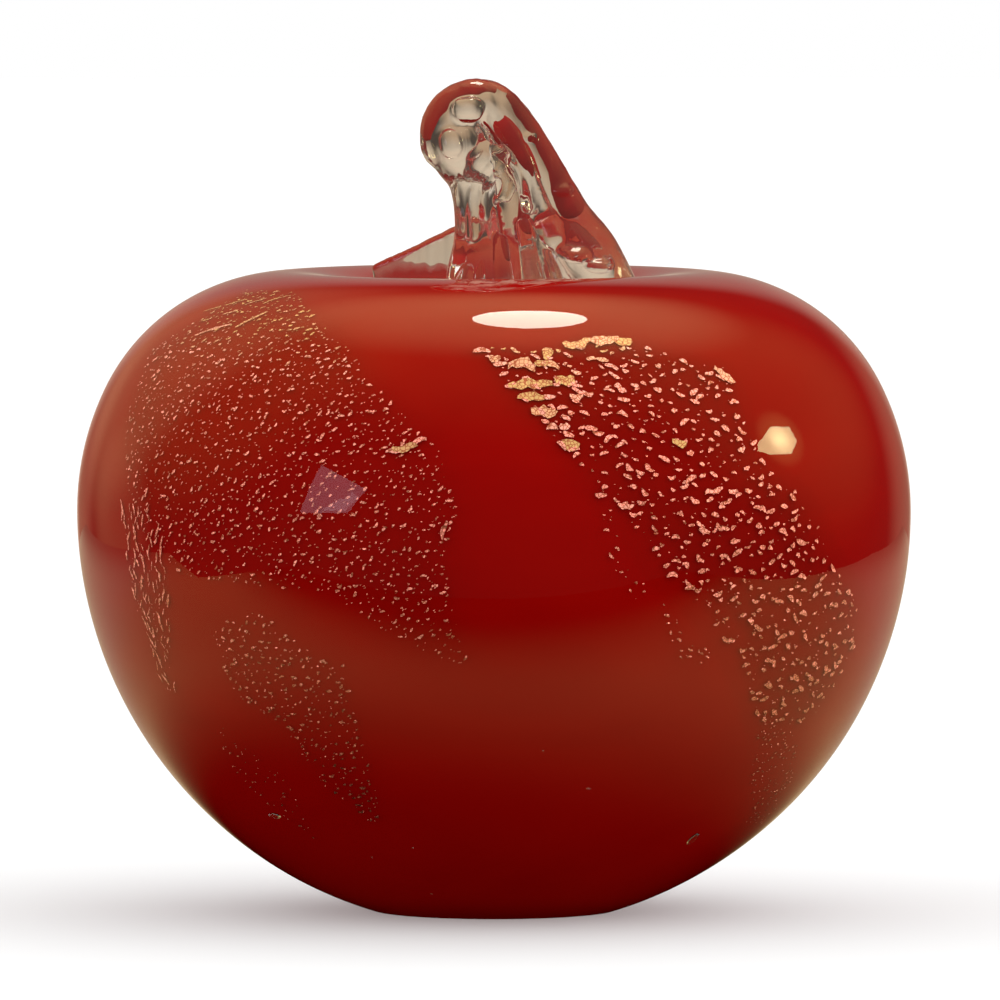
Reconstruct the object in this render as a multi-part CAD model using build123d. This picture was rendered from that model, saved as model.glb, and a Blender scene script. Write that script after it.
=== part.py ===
from build123d import *

import math
import os
import random

# Art glass apple: a hollow blown body of three fused glass layers, crackled gold leaf under the clear
# outer one, and a clear stem pulled from the hot bit that seals the neck. Millimetres, +Z up, origin at
# the centre of the ground foot, front towards -Y.

# Body outline, from foot to dimple: four arcs, each tangent to the next
BODY_RADIUS = 48.0
FLANK_RADIUS = 32.5
FLANK_TURN = 26.0
SHOULDER_RADIUS = 23.5
DIMPLE_RADIUS = 54.0

# Foot: a polished hollow where the pontil was, inside a ground flat ring
PONTIL_RADIUS = 7.5
PONTIL_DEPTH = 0.5
FOOT_RING_WIDTH = 6.5

# Glass layers from outside in, and the neck that the blowpipe leaves through them
CASING_WALL = 4.2
RED_WALL = 2.0
BUBBLE_WALL = 3.0
NECK_RADIUS = 4.5

# Gold leaf, beaten thin and crackled into flecks, between the casing and the overlay. Each fleck lies in a
# cell of a grid of angles, fills a share of the cell's width and height, and is shaken off its middle.
LEAF_THICKNESS = 0.08
LEAF_CLEARANCE = 0.15
CELL_AZIMUTH = 5.0
CELL_SLOPE = 4.5
FLECK_SHARE = 0.62
FLECK_SHAKE = 0.15
FEWEST_FLECK_CORNERS = 5
MOST_FLECK_CORNERS = 7
FLECK_SMALLEST = 0.6
FLECK_DENT = 0.75
FLECK_SKEW = 0.25
LEAF_SEED = 7

# Stem: its height above the rim, and flat sections as share of that height, shift towards +X,
# half width along X and half depth along Y. The root is the first of them, sunk below the dimple.
STEM_HEIGHT = 22.3
STEM_ROOT = (5.6, 12.4, 10.4)
STEM_ROOT_SINK = 2.5
STEM_SECTIONS = [
    (0.0, 5.2, 10.3, 8.4),
    (0.14, 4.2, 9.0, 6.8),
    (0.27, 3.1, 7.9, 5.6),
    (0.41, 2.0, 7.0, 5.0),
    (0.55, 0.2, 7.4, 5.0),
    (0.68, -1.2, 7.1, 4.9),
    (0.82, -2.4, 6.0, 4.4),
    (0.91, -2.9, 4.3, 3.4),
    (0.973, -3.0, 2.0, 1.8),
]
STEM_TIP_SHIFT = -3.0
STEM_FLUTES = 5
STEM_FLUTE_DEPTH = 0.07
STEM_SECTION_POINTS = 20
PLUG_BITE = 1.0

# Spur: the low ridge that the bit leaves towards the back left as it sticks down. Its middle line runs
# from a height above the rim to a height above the dimple's surface.
SPUR_TOP = (-2.5, 3.0)
SPUR_TOP_RISE = 1.4
SPUR_TOP_RADIUS = 4.0
SPUR_END = (-12.0, 6.0)
SPUR_END_RISE = 0.4
SPUR_END_RADIUS = 1.9

# Leaf sheets as corners (azimuth from the front towards +X, slope of the outward normal), in degrees
LEAF_SHEETS = {
    "gold_leaf_left_fan": [(-70, 40), (-66, 70), (-50, 77), (-27, 52), (-8, 20), (-5, 0), (-4, -17),
                           (-23, -6), (-50, -6), (-63, 8)],
    "gold_leaf_left_edge": [(-68, 0), (-58, -3), (-53, -11), (-57, -24), (-62, -16)],
    "gold_leaf_lower_left": [(-45, -13), (-36, -10), (-22, -18), (-20, -38), (-24, -45), (-35, -28),
                             (-43, -22)],
    "gold_leaf_heel_left": [(-49, -25), (-45, -30), (-38, -37), (-40, -49), (-51, -36)],
    "gold_leaf_right_band": [(-4, 52), (19, 56), (41, 42), (41, 20), (48, 8), (55, -4), (64, -12),
                             (60, -27), (47, -29), (41, -20), (24, -4), (10, 19)],
    "gold_leaf_right_tail": [(47, -34), (59, -34), (72, -48), (60, -50), (51, -42)],
    "gold_leaf_centre_streak": [(8, 9), (12, 9), (16, -3), (20, -9), (18, -13), (10, -4)],
    "gold_leaf_right_crumb": [(21, -10), (25, -10), (29, -16), (33, -19), (31, -23), (22, -19)],
    "gold_leaf_back_right_fan": [(88, 45), (105, 62), (128, 52), (141, 20), (136, -8), (112, -14),
                                 (95, 10)],
    "gold_leaf_back_band": [(150, 56), (172, 52), (197, 18), (204, -12), (186, -22), (166, 2)],
    "gold_leaf_back_left_fan": [(-150, 48), (-128, 58), (-104, 36), (-98, 10), (-120, 2), (-142, 18)],
    "gold_leaf_back_lower_right": [(100, -22), (118, -19), (136, -36), (128, -48), (108, -40)],
    "gold_leaf_back_lower_left": [(-150, -14), (-128, -10), (-106, -24), (-112, -44), (-138, -36)],
}


def polar(centre, radius, degrees):
    """Point on a circle of the half section, as (distance from the axis, height)."""
    angle = math.radians(degrees)
    return (centre[0] + radius * math.cos(angle), centre[1] + radius * math.sin(angle))


UP, DOWN = 90.0, -90.0
FOOT_RADIUS = PONTIL_RADIUS + FOOT_RING_WIDTH
LEAF_ROOM = LEAF_THICKNESS + 2 * LEAF_CLEARANCE
LEAF_INSET = CASING_WALL + LEAF_ROOM / 2
RED_INSET = CASING_WALL + LEAF_ROOM
BUBBLE_INSET = RED_INSET + RED_WALL
HOLLOW_INSET = BUBBLE_INSET + BUBBLE_WALL

EQUATOR = math.sqrt(BODY_RADIUS**2 - FOOT_RADIUS**2)
BODY_CENTRE = (0.0, EQUATOR)
FLANK_CENTRE = (BODY_RADIUS - FLANK_RADIUS, EQUATOR)
SHOULDER_CENTRE = polar(FLANK_CENTRE, FLANK_RADIUS - SHOULDER_RADIUS, FLANK_TURN)
RIM_HEIGHT = SHOULDER_CENTRE[1] + SHOULDER_RADIUS
DIMPLE_REACH = SHOULDER_RADIUS + DIMPLE_RADIUS
DIMPLE_TURN = math.degrees(math.asin(SHOULDER_CENTRE[0] / DIMPLE_REACH))
SHOULDER_TURN = UP + DIMPLE_TURN
DIMPLE_CENTRE = polar(SHOULDER_CENTRE, DIMPLE_REACH, SHOULDER_TURN)
DIMPLE_BOTTOM = DIMPLE_CENTRE[1] - DIMPLE_RADIUS


def arc(centre, radius, start, end):
    """Arc of the half section, drawn from start to end in degrees."""
    middle = polar(centre, radius, (start + end) / 2)
    ends = (polar(centre, radius, start), middle, polar(centre, radius, end))
    return Edge.make_three_point_arc(*[Vector(r, 0, z) for r, z in ends])


def line(start, end):
    return Edge.make_line(Vector(start[0], 0, start[1]), Vector(end[0], 0, end[1]))


def dimple_end(inset, radius):
    """Angle on the dimple arc at a distance from the axis."""
    return DOWN + math.degrees(math.asin(radius / (DIMPLE_RADIUS + inset)))


def skin(inset, foot_angle, neck_radius):
    """Arcs of the body outline, set in by a wall, from the foot up to the neck."""
    return [
        arc(BODY_CENTRE, BODY_RADIUS - inset, foot_angle, 0),
        arc(FLANK_CENTRE, FLANK_RADIUS - inset, 0, FLANK_TURN),
        arc(SHOULDER_CENTRE, SHOULDER_RADIUS - inset, FLANK_TURN, SHOULDER_TURN),
        arc(DIMPLE_CENTRE, DIMPLE_RADIUS + inset, DOWN + DIMPLE_TURN, dimple_end(inset, neck_radius)),
    ]


def neck_point(inset):
    return polar(DIMPLE_CENTRE, DIMPLE_RADIUS + inset, dimple_end(inset, NECK_RADIUS))


def bottom(inset):
    """Lowest point of the outline on the axis."""
    return (0.0, EQUATOR - BODY_RADIUS + inset)


def turned(edges):
    """Closed half section turned about the axis."""
    return Solid.revolve(Face(Wire(edges)), 360, Axis.Z)


def layer(outer_inset, inner_inset):
    """Fused glass layer between two outlines, open at the neck."""
    edges = skin(outer_inset, DOWN, NECK_RADIUS) + skin(inner_inset, DOWN, NECK_RADIUS)
    edges.append(line(neck_point(outer_inset), neck_point(inner_inset)))
    edges.append(line(bottom(inner_inset), bottom(outer_inset)))
    return turned(edges)


FOOT_ANGLE = -math.degrees(math.acos(FOOT_RADIUS / BODY_RADIUS))
PONTIL_BEND = (PONTIL_RADIUS**2 + PONTIL_DEPTH**2) / (2 * PONTIL_DEPTH)
PONTIL_CENTRE = (0.0, PONTIL_DEPTH - PONTIL_BEND)
PONTIL_ANGLE = math.degrees(math.acos(PONTIL_RADIUS / PONTIL_BEND))


def clear_casing():
    edges = skin(0, FOOT_ANGLE, NECK_RADIUS) + skin(CASING_WALL, DOWN, NECK_RADIUS)
    edges.append(line(neck_point(0), neck_point(CASING_WALL)))
    edges.append(line(bottom(CASING_WALL), (0, PONTIL_DEPTH)))
    edges.append(arc(PONTIL_CENTRE, PONTIL_BEND, UP, PONTIL_ANGLE))
    edges.append(line((PONTIL_RADIUS, 0), (FOOT_RADIUS, 0)))
    return turned(edges)


def whole_body():
    """The body with no hollow and no neck, to cut what lies on it."""
    edges = skin(0, FOOT_ANGLE, 0)
    edges.append(line(polar(DIMPLE_CENTRE, DIMPLE_RADIUS, DOWN), (0, 0)))
    edges.append(line((0, 0), (FOOT_RADIUS, 0)))
    return turned(edges)


def stem_section(height, depth, shift, half_width, half_depth):
    """Fluted oval across the stem at a height, with flutes of a depth."""
    points = []
    for index in range(STEM_SECTION_POINTS):
        angle = 2 * math.pi * index / STEM_SECTION_POINTS
        swell = 1 - depth / 2 + depth * math.cos(STEM_FLUTES * angle)
        x = shift + half_width * swell * math.cos(angle)
        y = half_depth * swell * math.sin(angle)
        points.append(Vector(x, y, height))
    return Wire([Edge.make_spline(points, periodic=True)])


def ball(centre, radius):
    return Solid.make_sphere(radius, Plane(centre))


def spur():
    """Tapered ridge with round ends, from inside the stem down to the dimple."""
    top = Vector(*SPUR_TOP, RIM_HEIGHT + SPUR_TOP_RISE)
    surface = DIMPLE_CENTRE[1] - math.sqrt(DIMPLE_RADIUS**2 - math.hypot(*SPUR_END) ** 2)
    end = Vector(*SPUR_END, surface + SPUR_END_RISE)
    along = Plane(top, z_dir=end - top)
    taper = Solid.make_cone(SPUR_TOP_RADIUS, SPUR_END_RADIUS, (end - top).length, along)
    return taper.fuse(ball(top, SPUR_TOP_RADIUS), ball(end, SPUR_END_RADIUS))


def neck_plug():
    """Glass that ran down the neck: as wide as the neck, with a round drip end in the hollow."""
    drip = neck_point(HOLLOW_INSET)[1]
    top = neck_point(0)[1] + PLUG_BITE
    shaft = Solid.make_cylinder(NECK_RADIUS, top - drip, Plane((0, 0, drip)))
    return shaft.fuse(ball((0, 0, drip), NECK_RADIUS))


def stem():
    """Pulled bit with flutes that fade out towards the tip, its spur and its plug, seated on the body."""
    sections = [stem_section(DIMPLE_BOTTOM - STEM_ROOT_SINK, STEM_FLUTE_DEPTH, *STEM_ROOT)]
    for share, shift, half_width, half_depth in STEM_SECTIONS:
        height = RIM_HEIGHT + share * STEM_HEIGHT
        depth = STEM_FLUTE_DEPTH * (1 - share)
        sections.append(stem_section(height, depth, shift, half_width, half_depth))
    tip = Vertex(STEM_TIP_SHIFT, 0, RIM_HEIGHT + STEM_HEIGHT)
    pulled = Solid.make_loft([*sections, tip])
    standing = pulled.fuse(spur()).cut(whole_body())
    return standing.fuse(neck_plug())


def leaf_place(azimuth, slope):
    """Plane on the leaf's middle surface, X along the girth and Z outwards."""
    if slope < 0:
        centre, radius = BODY_CENTRE, BODY_RADIUS
    elif slope < FLANK_TURN:
        centre, radius = FLANK_CENTRE, FLANK_RADIUS
    else:
        centre, radius = SHOULDER_CENTRE, SHOULDER_RADIUS
    r, z = polar(centre, radius - LEAF_INSET, slope)
    turn, tilt = math.radians(azimuth), math.radians(slope)
    girth = Vector(math.cos(turn), math.sin(turn), 0)
    outward = Vector(math.cos(tilt) * math.sin(turn), -math.cos(tilt) * math.cos(turn), math.sin(tilt))
    origin = Vector(r * math.sin(turn), -r * math.cos(turn), z)
    return Plane(origin, x_dir=girth, z_dir=outward), r, radius - LEAF_INSET


def inside(point, corners):
    """True where a point lies within a closed outline."""
    hit = False
    for (x1, y1), (x2, y2) in zip(corners, corners[1:] + corners[:1]):
        if (y1 > point[1]) != (y2 > point[1]):
            hit ^= point[0] < x1 + (point[1] - y1) * (x2 - x1) / (y2 - y1)
    return hit


def fleck(spot, chance):
    """One torn fleck: a flat plate with a few uneven corners."""
    place, girth, meridian = leaf_place(*spot)
    size = FLECK_SHARE / 2 * chance.uniform(FLECK_SMALLEST, 1)
    half_length = size * girth * math.radians(CELL_AZIMUTH)
    half_height = size * meridian * math.radians(CELL_SLOPE)
    count = chance.randint(FEWEST_FLECK_CORNERS, MOST_FLECK_CORNERS)
    corners = []
    for index in range(count):
        angle = 2 * math.pi * (index + chance.uniform(-FLECK_SKEW, FLECK_SKEW)) / count
        reach = chance.uniform(FLECK_DENT, 1)
        x = half_length * reach * math.cos(angle)
        y = half_height * reach * math.sin(angle)
        corners.append(place.from_local_coords((x, y, -LEAF_THICKNESS / 2)))
    return Solid.extrude(Face(Wire.make_polygon(corners)), place.z_dir * LEAF_THICKNESS)


def cells(values, size):
    """Middles of the grid's cells between the least and the most of some angles."""
    count = round((max(values) - min(values)) / size)
    return [min(values) + (index + 0.5) * size for index in range(count)]


def leaf_sheet(corners, chance):
    """All flecks of one torn sheet: one in each cell that lies within its outline."""
    flecks = []
    azimuths, slopes = zip(*corners)
    for slope in cells(slopes, CELL_SLOPE):
        for azimuth in cells(azimuths, CELL_AZIMUTH):
            shaken_azimuth = azimuth + CELL_AZIMUTH * chance.uniform(-FLECK_SHAKE, FLECK_SHAKE)
            shaken_slope = slope + CELL_SLOPE * chance.uniform(-FLECK_SHAKE, FLECK_SHAKE)
            if inside((shaken_azimuth, shaken_slope), corners):
                flecks.append(fleck((shaken_azimuth, shaken_slope), chance))
    return Compound(flecks)


def main():
    nodes = {
        "inner_bubble": layer(BUBBLE_INSET, HOLLOW_INSET),
        "red_overlay": layer(RED_INSET, BUBBLE_INSET),
        "clear_casing": clear_casing(),
        "stem": stem(),
    }
    chance = random.Random(LEAF_SEED)
    for name, corners in LEAF_SHEETS.items():
        nodes[name] = leaf_sheet(corners, chance)
    os.makedirs("parts", exist_ok=True)
    for name, shape in nodes.items():
        export_step(shape, f"parts/{name}.step")


main()
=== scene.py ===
import math
import random
from collections import namedtuple

import bmesh
import bpy
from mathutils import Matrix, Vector, noise
from mathutils.bvhtree import BVHTree


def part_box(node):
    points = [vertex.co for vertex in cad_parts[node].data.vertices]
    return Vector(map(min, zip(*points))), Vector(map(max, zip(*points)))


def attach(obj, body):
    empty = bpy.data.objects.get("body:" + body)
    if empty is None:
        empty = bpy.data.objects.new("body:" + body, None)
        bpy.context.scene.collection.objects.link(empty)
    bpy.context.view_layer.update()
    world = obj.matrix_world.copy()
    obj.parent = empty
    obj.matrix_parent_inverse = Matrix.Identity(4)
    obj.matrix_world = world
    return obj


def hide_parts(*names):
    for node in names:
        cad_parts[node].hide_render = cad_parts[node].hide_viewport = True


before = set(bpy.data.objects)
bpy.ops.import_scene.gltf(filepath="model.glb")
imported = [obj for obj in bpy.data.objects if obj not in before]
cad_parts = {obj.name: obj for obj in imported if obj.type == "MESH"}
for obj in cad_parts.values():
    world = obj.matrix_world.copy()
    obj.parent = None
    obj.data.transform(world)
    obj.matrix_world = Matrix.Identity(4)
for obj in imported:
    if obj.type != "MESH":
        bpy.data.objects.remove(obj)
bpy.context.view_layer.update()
MM = 0.001

# Angles in degrees
UP = 90
DOWN = -90
HALF_TURN = 180
FULL_TURN = 360

# Body outline, from foot to dimple: four arcs, each tangent to the next
BODY_RADIUS = 48 * MM
FLANK_RADIUS = 32.5 * MM
FLANK_TURN = 26
SHOULDER_RADIUS = 23.5 * MM
DIMPLE_RADIUS = 54 * MM
FOOT_RADIUS = 14 * MM
PONTIL_RADIUS = 7.5 * MM
PONTIL_DEPTH = 0.5 * MM
RED_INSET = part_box("clear_casing")[1][2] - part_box("red_overlay")[1][2]
RED_WALL = 2 * MM
LEAF_ROOM = 0.38 * MM
CASING_WALL = RED_INSET - LEAF_ROOM

# Hand-made waviness of the blown body: it only ever pulls the surface in
WAVE_DEPTH = 0.35 * MM
WAVE_LENGTH = 32 * MM

# Mesh steps
GIRTH_STEPS = 360
ARC_STEP = 0.6 * MM
FEWEST_ARC_STEPS = 2

# Photo's view: distance and height of the eye, the point it looks at, and the width of the frame there
EYE_DISTANCE = 1600 * MM
EYE_ELEVATION = 3.1
AIM = Vector((0.7, 0, 47.1)) * MM
FRAME_WIDTH = 114.8 * MM

# Times that light may pass through the stem's folds
GLASS_BOUNCES = 24


def polar(centre, radius, degrees):
    """Point on a circle of the half section, as (distance from the axis, height)."""
    angle = math.radians(degrees)
    return (centre[0] + radius * math.cos(angle), centre[1] + radius * math.sin(angle))


EQUATOR = math.sqrt(BODY_RADIUS**2 - FOOT_RADIUS**2)
BODY_CENTRE = (0.0, EQUATOR)
FLANK_CENTRE = (BODY_RADIUS - FLANK_RADIUS, EQUATOR)
SHOULDER_CENTRE = polar(FLANK_CENTRE, FLANK_RADIUS - SHOULDER_RADIUS, FLANK_TURN)
RIM_HEIGHT = SHOULDER_CENTRE[1] + SHOULDER_RADIUS
DIMPLE_REACH = SHOULDER_RADIUS + DIMPLE_RADIUS
SHOULDER_TURN = UP + math.degrees(math.asin(SHOULDER_CENTRE[0] / DIMPLE_REACH))
DIMPLE_CENTRE = polar(SHOULDER_CENTRE, DIMPLE_REACH, SHOULDER_TURN)
FOOT_ANGLE = -math.degrees(math.acos(FOOT_RADIUS / BODY_RADIUS))
DIMPLE_EDGE = SHOULDER_CENTRE[0] * DIMPLE_RADIUS / DIMPLE_REACH


# Mesh helpers

def arc(centre, radius, start, end):
    """Points along an arc of the half section, without its last one."""
    count = max(FEWEST_ARC_STEPS, round(abs(math.radians(end - start)) * radius / ARC_STEP))
    return [polar(centre, radius, start + (end - start) * step / count) for step in range(count)]


def outline(inset, foot_angle):
    """Half section of the body, set in by a wall, from the foot up to the middle of the dimple."""
    points = arc(BODY_CENTRE, BODY_RADIUS - inset, foot_angle, 0)
    points += arc(FLANK_CENTRE, FLANK_RADIUS - inset, 0, FLANK_TURN)
    points += arc(SHOULDER_CENTRE, SHOULDER_RADIUS - inset, FLANK_TURN, SHOULDER_TURN)
    points += arc(DIMPLE_CENTRE, DIMPLE_RADIUS + inset, SHOULDER_TURN - HALF_TURN, DOWN)
    return points + [polar(DIMPLE_CENTRE, DIMPLE_RADIUS + inset, DOWN)]


def foot_outline():
    """Polished hollow and ground ring under the body, from the axis out to the foot's edge."""
    bend = (PONTIL_RADIUS**2 + PONTIL_DEPTH**2) / (2 * PONTIL_DEPTH)
    edge = math.degrees(math.acos(PONTIL_RADIUS / bend))
    points = arc((0.0, PONTIL_DEPTH - bend), bend, UP, edge)
    ring = FOOT_RADIUS - PONTIL_RADIUS
    steps = round(ring / ARC_STEP)
    points += [(PONTIL_RADIUS + ring * step / steps, 0.0) for step in range(steps)]
    return points


def turned(points, inward=False):
    """Vertices and faces of a half section turned about the axis. Its ends lie on the axis."""
    vertices = [(0, 0, points[0][1])]
    for r, z in points[1:-1]:
        for step in range(GIRTH_STEPS):
            turn = 2 * math.pi * step / GIRTH_STEPS
            vertices.append((r * math.cos(turn), r * math.sin(turn), z))
    vertices.append((0, 0, points[-1][1]))
    last = len(vertices) - 1
    faces = []
    for step in range(GIRTH_STEPS):
        after = (step + 1) % GIRTH_STEPS
        faces.append((0, 1 + after, 1 + step))
        for ring in range(len(points) - 3):
            low = 1 + ring * GIRTH_STEPS
            high = low + GIRTH_STEPS
            faces.append((low + step, low + after, high + after, high + step))
        top = last - GIRTH_STEPS
        faces.append((top + step, top + after, last))
    if inward:
        faces = [tuple(reversed(face)) for face in faces]
    return vertices, faces


def join(vertices, faces, more, more_faces):
    """Adds one shape's vertices and faces to another's."""
    faces += [tuple(index + len(vertices) for index in face) for face in more_faces]
    vertices += more


def new_piece(name, vertices, faces, *materials):
    """Smooth mesh object in the scene, with its materials in order."""
    mesh = bpy.data.meshes.new(name)
    mesh.from_pydata([tuple(v) for v in vertices], [], faces)
    piece = bpy.data.objects.new(name, mesh)
    bpy.context.scene.collection.objects.link(piece)
    for material in materials:
        mesh.materials.append(material)
    mesh.polygons.foreach_set("use_smooth", [True] * len(mesh.polygons))
    mesh.update()
    return piece


def fit_out(piece, slot, *nodes):
    """The piece rides on the apple's one body and stands for CAD nodes. Its slot is not used."""
    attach(piece, "root")
    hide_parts(*nodes)


def pulled_in(vertex):
    """Waviness of the blown body, none round the stem or under the foot."""
    v = Vector(vertex)
    spread = math.hypot(v.x, v.y)
    room = min(1, max(0, (spread - DIMPLE_EDGE) / DIMPLE_EDGE))
    swell = (noise.noise(v / WAVE_LENGTH) + 1) / 2
    return v - Vector((v.x, v.y, 0)) / max(spread, MM) * WAVE_DEPTH * swell * room


# Node helpers

# Places of a mix node's two colours among its inputs, and of the mixed colour among its outputs
MIX_COLOURS = (6, 7)
MIX_RESULT = 2


def new_material(name):
    """A material with its node tree and its shader."""
    material = bpy.data.materials.new(name)
    material.use_nodes = True
    tree = material.node_tree
    return material, tree, tree.nodes["Principled BSDF"]


def add(tree, kind, **settings):
    node = tree.nodes.new(kind)
    for key, value in settings.items():
        setattr(node, key, value)
    return node


def texture_place(tree, stretch=(1, 1, 1)):
    """Object coordinates, scaled."""
    coordinates = add(tree, "ShaderNodeTexCoord")
    mapping = add(tree, "ShaderNodeMapping")
    mapping.inputs["Scale"].default_value = stretch
    tree.links.new(coordinates.outputs["Object"], mapping.inputs["Vector"])
    return mapping.outputs["Vector"]


def noise_value(tree, place, scale, detail, distortion=0.0):
    cloud = add(tree, "ShaderNodeTexNoise")
    cloud.inputs["Scale"].default_value = scale
    cloud.inputs["Detail"].default_value = detail
    cloud.inputs["Distortion"].default_value = distortion
    tree.links.new(place, cloud.inputs["Vector"])
    return cloud.outputs["Fac"]


def bump(tree, height, distance, strength):
    node = add(tree, "ShaderNodeBump")
    node.inputs["Distance"].default_value = distance
    node.inputs["Strength"].default_value = strength
    tree.links.new(height, node.inputs["Height"])
    return node.outputs["Normal"]


def ramp(tree, factor, *stops):
    """Colour that changes over a factor, with stops as (place, colour)."""
    node = add(tree, "ShaderNodeValToRGB")
    elements = node.color_ramp.elements
    while len(elements) < len(stops):
        elements.new(0.5)
    for element, (place, colour) in zip(elements, stops):
        element.position = place
        element.color = (*colour, 1)
    tree.links.new(factor, node.inputs["Fac"])
    return node.outputs["Color"]


def mixed(tree, factor, first, second):
    """Mix of two colours, each a constant or a socket."""
    mix = add(tree, "ShaderNodeMix", data_type="RGBA")
    tree.links.new(factor, mix.inputs["Factor"])
    for place, value in zip(MIX_COLOURS, (first, second)):
        if isinstance(value, tuple):
            mix.inputs[place].default_value = value
        else:
            tree.links.new(value, mix.inputs[place])
    return mix.outputs[MIX_RESULT]


def fade(tree, value, span, ends):
    """Smooth change between two values over a span of another."""
    node = add(tree, "ShaderNodeMapRange", interpolation_type="SMOOTHSTEP")
    for name, number in zip(("From Min", "From Max", "To Min", "To Max"), (*span, *ends)):
        node.inputs[name].default_value = number
    tree.links.new(value, node.inputs["Value"])
    return node.outputs["Result"]


def times(tree, first, second):
    node = add(tree, "ShaderNodeMath", operation="MULTIPLY")
    tree.links.new(first, node.inputs[0])
    tree.links.new(second, node.inputs[1])
    return node.outputs["Value"]


def distance_from(tree, point):
    """Distance from a point, in object coordinates."""
    node = add(tree, "ShaderNodeVectorMath", operation="DISTANCE")
    tree.links.new(texture_place(tree), node.inputs[0])
    node.inputs[1].default_value = point
    return node.outputs["Value"]


# Materials

# Names of mesh attributes: how golden a fleck is, and how far the red is darkened under a sheet of leaf as
# painted shade; then the dark colour of that painted shade
GILD = "gild"
SHADE = "shade"
SHADE_COLOUR = (0.05, 0.004, 0.001, 1)

# Distances from the axis over which the red's painted shade fades out, and where its cords are darkest and
# lightest
AXIS_SHADE_REACH = (7 * MM, 17 * MM)
CORD_STOPS = (0.3, 0.7)

# Gold leaf: tones from rosy to golden, cracks as fine as their scale says with the distances at which
# they start and end, and crinkles
LEAF_TONES = ((0.0, (0.98, 0.34, 0.26)), (0.5, (0.88, 0.38, 0.29)), (1.0, (0.62, 0.37, 0.14)))
CRACK_COLOUR = (0.36, 0.09, 0.04, 1)
CRACK_SCALE = 2400
CRACK_SPAN = (0.02, 0.14)
CRINKLE_SCALE = 1800
CRINKLE_DEPTH = 0.05 * MM

# Opal glass of the unseen bubble: cloudy tones
OPAL_TONES = ((0.3, (0.70, 0.62, 0.56)), (0.7, (0.82, 0.76, 0.70)))
OPAL_SCALE = 60

GLASS_IOR = 1.5


def clear_glass(name, tint, scale, depth, clearness):
    """Fire polished glass with faint ripples, and the haze that is left of full clearness."""
    material, tree, shader = new_material(name)
    shader.inputs["Base Color"].default_value = tint
    shader.inputs["Roughness"].default_value = 0.0
    shader.inputs["IOR"].default_value = GLASS_IOR
    shader.inputs["Transmission Weight"].default_value = clearness
    ripples = noise_value(tree, texture_place(tree), scale, detail=1.0, distortion=0.4)
    tree.links.new(bump(tree, ripples, depth, strength=1.0), shader.inputs["Normal"])
    return material


def fused_bond():
    """Where glass is fused to glass there is no surface to see."""
    material, _, shader = new_material("fused_bond")
    shader.inputs["Alpha"].default_value = 0.0
    return material


def red_glass(name, stretch, scale, dark, light, axis_lit_share):
    """Deep red glass with darker and lighter cords drawn out by the blowing, with painted shade near the axis
    and under the leaf.
    """
    material, tree, shader = new_material(name)
    cords = noise_value(tree, texture_place(tree, stretch), scale, detail=4.0, distortion=1.2)
    away = add(tree, "ShaderNodeVectorMath", operation="LENGTH")
    tree.links.new(texture_place(tree, (1, 1, 0)), away.inputs[0])
    # Painted shade: the red darkens towards the axis, round the stem's foot in the dimple and under the
    # body's foot
    thin = fade(tree, away.outputs["Value"], AXIS_SHADE_REACH, (axis_lit_share, 1))
    drawn = ramp(tree, cords, *zip(CORD_STOPS, (dark, light)))
    colour = mixed(tree, thin, (0, 0, 0, 1), drawn)
    # Painted shade under the sheets of leaf: the red darkens towards a dark brown-red
    shade = add(tree, "ShaderNodeAttribute", attribute_name=SHADE).outputs["Fac"]
    tree.links.new(mixed(tree, shade, colour, SHADE_COLOUR), shader.inputs["Base Color"])
    shader.inputs["Roughness"].default_value = 1.0
    shader.inputs["Specular IOR Level"].default_value = 0.0
    return material


def gold_leaf():
    """Beaten leaf with a crinkled face. Each fleck carries how golden it is, from rosy to yellow."""
    material, tree, shader = new_material("gold_leaf")
    gild = add(tree, "ShaderNodeAttribute", attribute_name=GILD).outputs["Fac"]
    tone = ramp(tree, gild, *LEAF_TONES)
    crackle = add(tree, "ShaderNodeTexVoronoi", feature="DISTANCE_TO_EDGE")
    crackle.inputs["Scale"].default_value = CRACK_SCALE
    tree.links.new(texture_place(tree), crackle.inputs["Vector"])
    whole = fade(tree, crackle.outputs["Distance"], CRACK_SPAN, (0, 1))
    tree.links.new(mixed(tree, whole, CRACK_COLOUR, tone), shader.inputs["Base Color"])
    shader.inputs["Metallic"].default_value = 1.0
    shader.inputs["Roughness"].default_value = 0.5
    crinkle = noise_value(tree, texture_place(tree), CRINKLE_SCALE, detail=2.0)
    tree.links.new(bump(tree, crinkle, CRINKLE_DEPTH, strength=0.6), shader.inputs["Normal"])
    return material


def opal_glass():
    material, tree, shader = new_material("opal_glass")
    haze = noise_value(tree, texture_place(tree), OPAL_SCALE, detail=3.0)
    tree.links.new(ramp(tree, haze, *OPAL_TONES), shader.inputs["Base Color"])
    shader.inputs["Roughness"].default_value = 0.25
    return material


CASING_GLASS = clear_glass("casing_glass", tint=(0.985, 0.98, 0.97, 1), scale=60, depth=0.02 * MM,
                           clearness=1.0)
STEM_GLASS = clear_glass("stem_glass", tint=(0.84, 0.77, 0.67, 1), scale=220, depth=0.06 * MM,
                         clearness=0.98)
BOND = fused_bond()
RED_GLASS = red_glass("red_glass", stretch=(1, 1, 2.6), scale=26, dark=(0.246, 0.0007, 0.0005),
                      light=(0.282, 0.0016, 0.0007), axis_lit_share=0.55)
# Red cords in the stem: partly drawn red glass, partly painted refraction of the body's red
DRAWN_RED_AND_PAINTED_REFRACTION = red_glass("drawn_red_and_painted_refraction", stretch=(1, 1, 0.3), scale=160, dark=(0.15, 0.004, 0.004),
                      light=(0.28, 0.008, 0.006), axis_lit_share=1)
GOLD_LEAF = gold_leaf()
OPAL_GLASS = opal_glass()


# Stem: strands of the hot bit as (x, y, height above the rim, radius), in millimetres

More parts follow.
